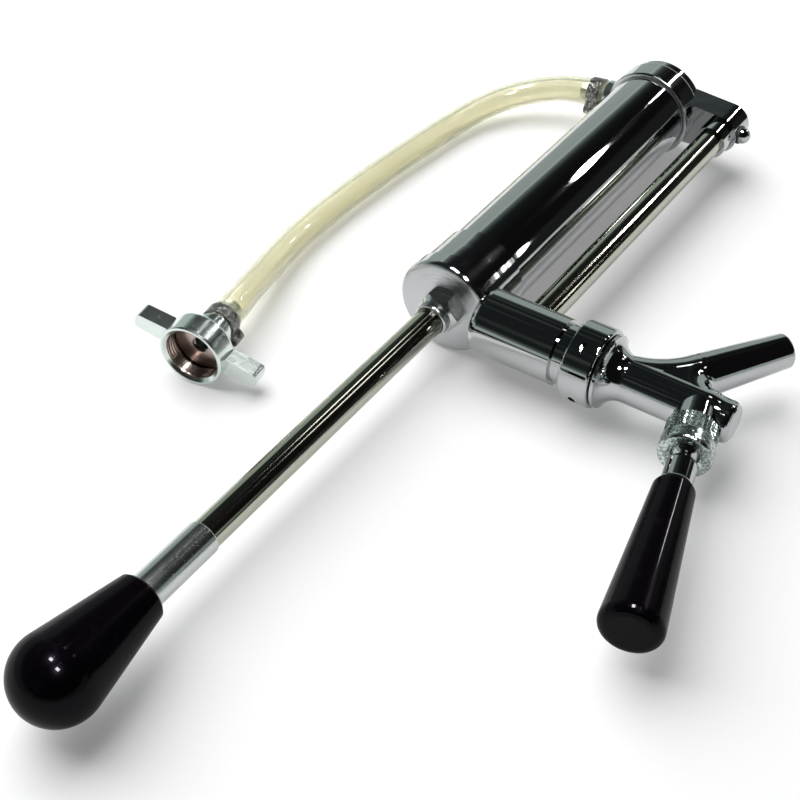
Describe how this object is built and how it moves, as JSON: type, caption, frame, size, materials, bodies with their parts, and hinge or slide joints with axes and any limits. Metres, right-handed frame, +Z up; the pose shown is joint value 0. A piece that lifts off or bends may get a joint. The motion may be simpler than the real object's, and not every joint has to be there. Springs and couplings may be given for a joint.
{
  "type": "keg party pump",
  "caption": "Hand keg pump lying on its side: chromed barrel, drawn-out plunger with a pear knob, lever tap on the head and a clear hose ending in a wing nut.",
  "frame": {"origin": "under the middle of the pump's box, without its hose, on the surface that it lies on", "axes": "+Y along the barrel from the knob to the foot, +X from the barrel towards the tap, +Z up"},
  "size_m": [0.2608, 0.4584, 0.044],
  "materials": {
    "chrome": "polished chrome plate",
    "steel": "bright steel",
    "brass": "turned brass",
    "rubber": "matt black rubber",
    "black_plastic": "glossy black moulded plastic",
    "vinyl": "clear vinyl, slightly yellow"
  },
  "bodies": {
    "pump": {"barrel": "chrome", "head_cap": "chrome", "head_gasket": "rubber", "gland_nut": "chrome", "rod_bush": "brass", "rod_seal": "rubber", "foot_cap": "chrome", "foot_gasket": "rubber", "check_retainer": "brass", "check_spring": "steel", "keg_washer": "rubber", "foot_block": "chrome", "passage_plug": "chrome", "plug_washer": "rubber", "beer_tube": "chrome", "tube_seal_lower": "rubber", "tube_seal_upper": "rubber", "tap_shank": "chrome", "shank_stud": "brass", "shank_gasket": "rubber", "coupling_nut": "chrome", "faucet_body": "chrome", "bonnet": "chrome", "ball_washer": "rubber", "hose_barb": "brass", "beer_hose": "vinyl", "foot_clamp": "steel", "nut_clamp": "steel", "hose_tail": "brass", "tail_washer": "brass"},
    "plunger": {"pump_rod": "chrome", "rod_ferrule": "chrome", "pump_knob": "black_plastic", "piston": "brass", "piston_cup": "rubber", "piston_washer": "steel", "piston_nut": "brass", "rod_bumper": "rubber"},
    "lever": {"tap_lever": "chrome", "lever_ferrule": "chrome", "tap_handle": "black_plastic"},
    "valve": {"valve_shaft": "steel", "valve_seal": "rubber", "valve_nut": "brass"},
    "swivel": {"wing_nut": "chrome"},
    "check": {"check_ball": "steel"}
  },
  "joints": [
    {"name": "rod_slide", "type": "slide", "parent": "pump", "child": "plunger", "axis": [0, 1, 0], "range_m": [0, 0.1375]},
    {"name": "lever_pivot", "type": "hinge", "parent": "pump", "child": "lever", "pos_m": [0.05476, 0.00145, 0.022], "axis": [0, 0, 1], "range_deg": [0, 18]},
    {"name": "valve_slide", "type": "slide", "parent": "pump", "child": "valve", "axis": [1, 0, 0], "range_m": [-0.0068, 0]},
    {"name": "wing_swivel", "type": "hinge", "parent": "pump", "child": "swivel", "pos_m": [-0.1413, -0.0591, 0.0147], "axis": [0.1564, -0.9877, 0], "continuous": true},
    {"name": "check_slide", "type": "slide", "parent": "pump", "child": "check", "axis": [0, 1, 0], "range_m": [0, 0.0012], "stiffness_N_per_m": 100, "springref_m": -0.001, "deforming": ["check_spring"]}
  ],
  "couplings": [
    {"joint": "valve_slide", "follows": "lever_pivot", "m_per_rad": -0.021462}
  ]
}
